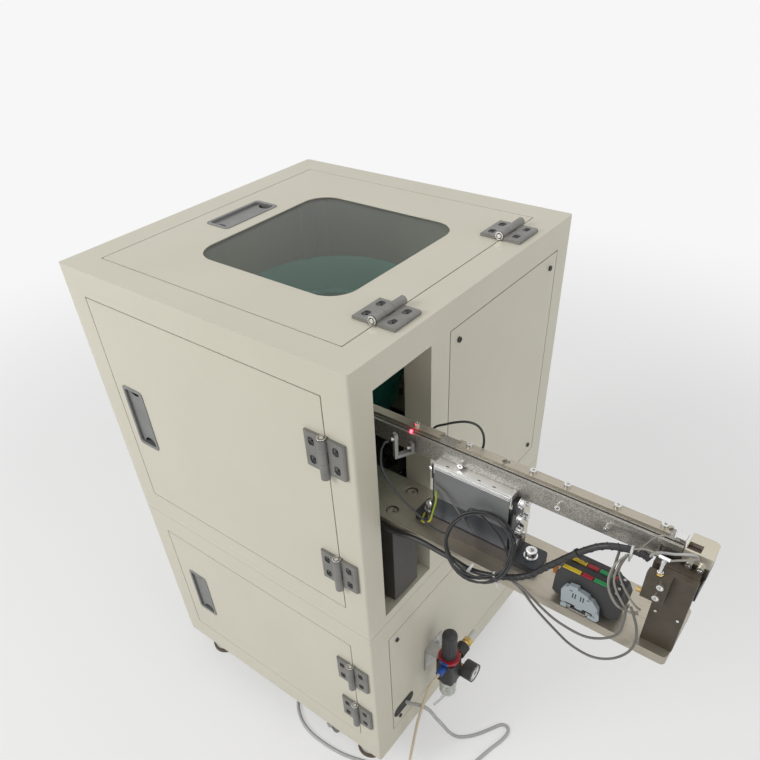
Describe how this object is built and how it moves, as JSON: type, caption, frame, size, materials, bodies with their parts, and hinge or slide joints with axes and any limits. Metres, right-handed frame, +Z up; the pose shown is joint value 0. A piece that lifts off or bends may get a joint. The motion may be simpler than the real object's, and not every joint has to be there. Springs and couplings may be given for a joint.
{
  "type": "automatic screw feeder",
  "caption": "Steel two-part cabinet with a vibratory bowl inside and a vibrating linear screw track on a side beam, on casters and levelling feet, with an air regulator",
  "frame": {"origin": "on the floor under the middle of the cabinet", "axes": "+X is the way the track leaves, -Y is the door side, +Z is up"},
  "size_m": [1.034, 0.6939, 1.0347],
  "materials": {
    "ivory_paint": "satin",
    "zinc": "satin",
    "bright_steel": "polished",
    "pull_grey": "satin",
    "tinted_glass": "polished",
    "black_rubber": "matte",
    "wheel_grey": "matte",
    "dark_paint": "satin",
    "teal_coating": "satin",
    "nickel": "satin",
    "bronze_dark": "satin",
    "alu": "satin",
    "black_plastic": "matte",
    "clear_bowl": "polished",
    "cable_grey": "matte",
    "air_hose": "satin",
    "cable_black": "matte"
  },
  "bodies": {
    "cabinet": {"lower_cabinet": "ivory_paint", "deck_plate": "ivory_paint", "upper_cabinet": "ivory_paint", "right_upper_panel": "ivory_paint", "right_lower_panel": "ivory_paint", "left_and_rear_panels": "ivory_paint", "panel_screws": "bright_steel", "cable_grommet": "black_rubber", "levelling_feet": "zinc", "caster_plates": "zinc", "frame_hinge_leaves": "zinc", "hinge_pins": "bright_steel", "bowl_drive": "dark_paint", "beam_riser": "dark_paint", "support_beam": "nickel", "linear_drive_base": "dark_paint", "leaf_springs": "bright_steel", "end_post": "bronze_dark", "end_block": "nickel", "shuttle_cylinder": "bronze_dark", "terminal_row": "black_plastic", "regulator_bracket": "zinc", "regulator_body": "black_plastic", "regulator_bowl": "clear_bowl", "pressure_gauge": "black_plastic", "mains_cable": "cable_grey", "mains_coil": "cable_grey", "mains_plug": "cable_grey", "air_tube": "air_hose", "air_coil": "air_hose", "sensor_cable_coil": "cable_black", "wiring": "cable_black"},
    "lid": {"lid_panel": "ivory_paint", "lid_window": "tinted_glass", "lid_hinge_leaves": "zinc", "lid_pull": "pull_grey"},
    "lid_flap": {"lid_paddle": "pull_grey"},
    "upper_door": {"upper_door_panel": "ivory_paint", "upper_door_leaves": "zinc", "upper_door_pull": "pull_grey"},
    "upper_door_flap": {"upper_door_paddle": "pull_grey"},
    "lower_door": {"lower_door_panel": "ivory_paint", "lower_door_leaves": "zinc", "lower_door_pull": "pull_grey"},
    "lower_door_flap": {"lower_door_paddle": "pull_grey"},
    "bowl_unit": {"bowl": "teal_coating", "spiral_track": "teal_coating"},
    "track": {"drive_top_block": "alu", "near_rail": "nickel", "far_rail": "nickel", "sensor_bracket": "zinc"},
    "shuttle_slide": {"shuttle": "bronze_dark"},
    "knob": {"regulator_knob": "black_plastic"},
    "sleeve": {"valve_sleeve": "black_plastic"},
    "left_fork": {"front_left_fork": "zinc"},
    "right_fork": {"front_right_fork": "zinc"},
    "left_front_wheel": {"front_left_wheel": "wheel_grey"},
    "right_front_wheel": {"front_right_wheel": "wheel_grey"},
    "left_rear_wheel": {"rear_left_wheel": "wheel_grey"},
    "right_rear_wheel": {"rear_right_wheel": "wheel_grey"}
  },
  "joints": [
    {"name": "lid_hinge", "type": "hinge", "parent": "cabinet", "child": "lid", "pos_m": [0.251, 0, 1.0275], "axis": [0, 1, 0], "range_deg": [0, 110]},
    {"name": "upper_door_hinge", "type": "hinge", "parent": "cabinet", "child": "upper_door", "pos_m": [0.251, -0.3075, 0.76], "axis": [0, 0, 1], "range_deg": [0, 170]},
    {"name": "lower_door_hinge", "type": "hinge", "parent": "cabinet", "child": "lower_door", "pos_m": [0.251, -0.3075, 0.284], "axis": [0, 0, 1], "range_deg": [0, 170]},
    {"name": "lid_flap_hinge", "type": "hinge", "parent": "lid", "child": "lid_flap", "pos_m": [-0.1715, 0.003, 1.015], "axis": [0, -1, 0], "range_deg": [0, 12], "stiffness_Nm_per_rad": 0.6, "springref_deg": -11.46},
    {"name": "upper_flap_hinge", "type": "hinge", "parent": "upper_door", "child": "upper_door_flap", "pos_m": [-0.1855, -0.295, 0.752], "axis": [0, 0, -1], "range_deg": [0, 12], "stiffness_Nm_per_rad": 0.6, "springref_deg": -11.46},
    {"name": "lower_flap_hinge", "type": "hinge", "parent": "lower_door", "child": "lower_door_flap", "pos_m": [-0.1725, -0.295, 0.276], "axis": [0, 0, -1], "range_deg": [0, 12], "stiffness_Nm_per_rad": 0.6, "springref_deg": -11.46},
    {"name": "bowl_vibration", "type": "hinge", "parent": "cabinet", "child": "bowl_unit", "pos_m": [0, 0, 0.719], "axis": [0, 0, 1], "range_deg": [-0.2, 0.2], "stiffness_Nm_per_rad": 20000},
    {"name": "track_vibration", "type": "slide", "parent": "cabinet", "child": "track", "axis": [1, 0, 0], "range_m": [-0.00025, 0.00025], "stiffness_N_per_m": 80000},
    {"name": "shuttle_travel", "type": "slide", "parent": "cabinet", "child": "shuttle_slide", "axis": [0, 1, 0], "range_m": [0, 0.01]},
    {"name": "knob_turn", "type": "hinge", "parent": "cabinet", "child": "knob", "pos_m": [0.35, -0.124, 0.33], "axis": [0, 0, 1], "range_deg": [-720, 720]},
    {"name": "sleeve_slide", "type": "slide", "parent": "cabinet", "child": "sleeve", "axis": [0, 1, 0], "range_m": [0, 0.006]},
    {"name": "left_swivel", "type": "hinge", "parent": "cabinet", "child": "left_fork", "pos_m": [-0.114, -0.262, 0.06], "axis": [0, 0, 1], "continuous": true},
    {"name": "right_swivel", "type": "hinge", "parent": "cabinet", "child": "right_fork", "pos_m": [0.114, -0.262, 0.06], "axis": [0, 0, 1], "continuous": true},
    {"name": "left_front_spin", "type": "hinge", "parent": "left_fork", "child": "left_front_wheel", "pos_m": [-0.14171, -0.246, 0.028], "axis": [-0.5, -0.866, 0], "continuous": true},
    {"name": "right_front_spin", "type": "hinge", "parent": "right_fork", "child": "right_front_wheel", "pos_m": [0.14407, -0.27294, 0.028], "axis": [0.342, 0.9397, 0], "continuous": true},
    {"name": "left_rear_spin", "type": "hinge", "parent": "cabinet", "child": "left_rear_wheel", "pos_m": [-0.146, 0.262, 0.028], "axis": [0, -1, 0], "continuous": true},
    {"name": "right_rear_spin", "type": "hinge", "parent": "cabinet", "child": "right_rear_wheel", "pos_m": [0.082, 0.262, 0.028], "axis": [0, -1, 0], "continuous": true}
  ]
}
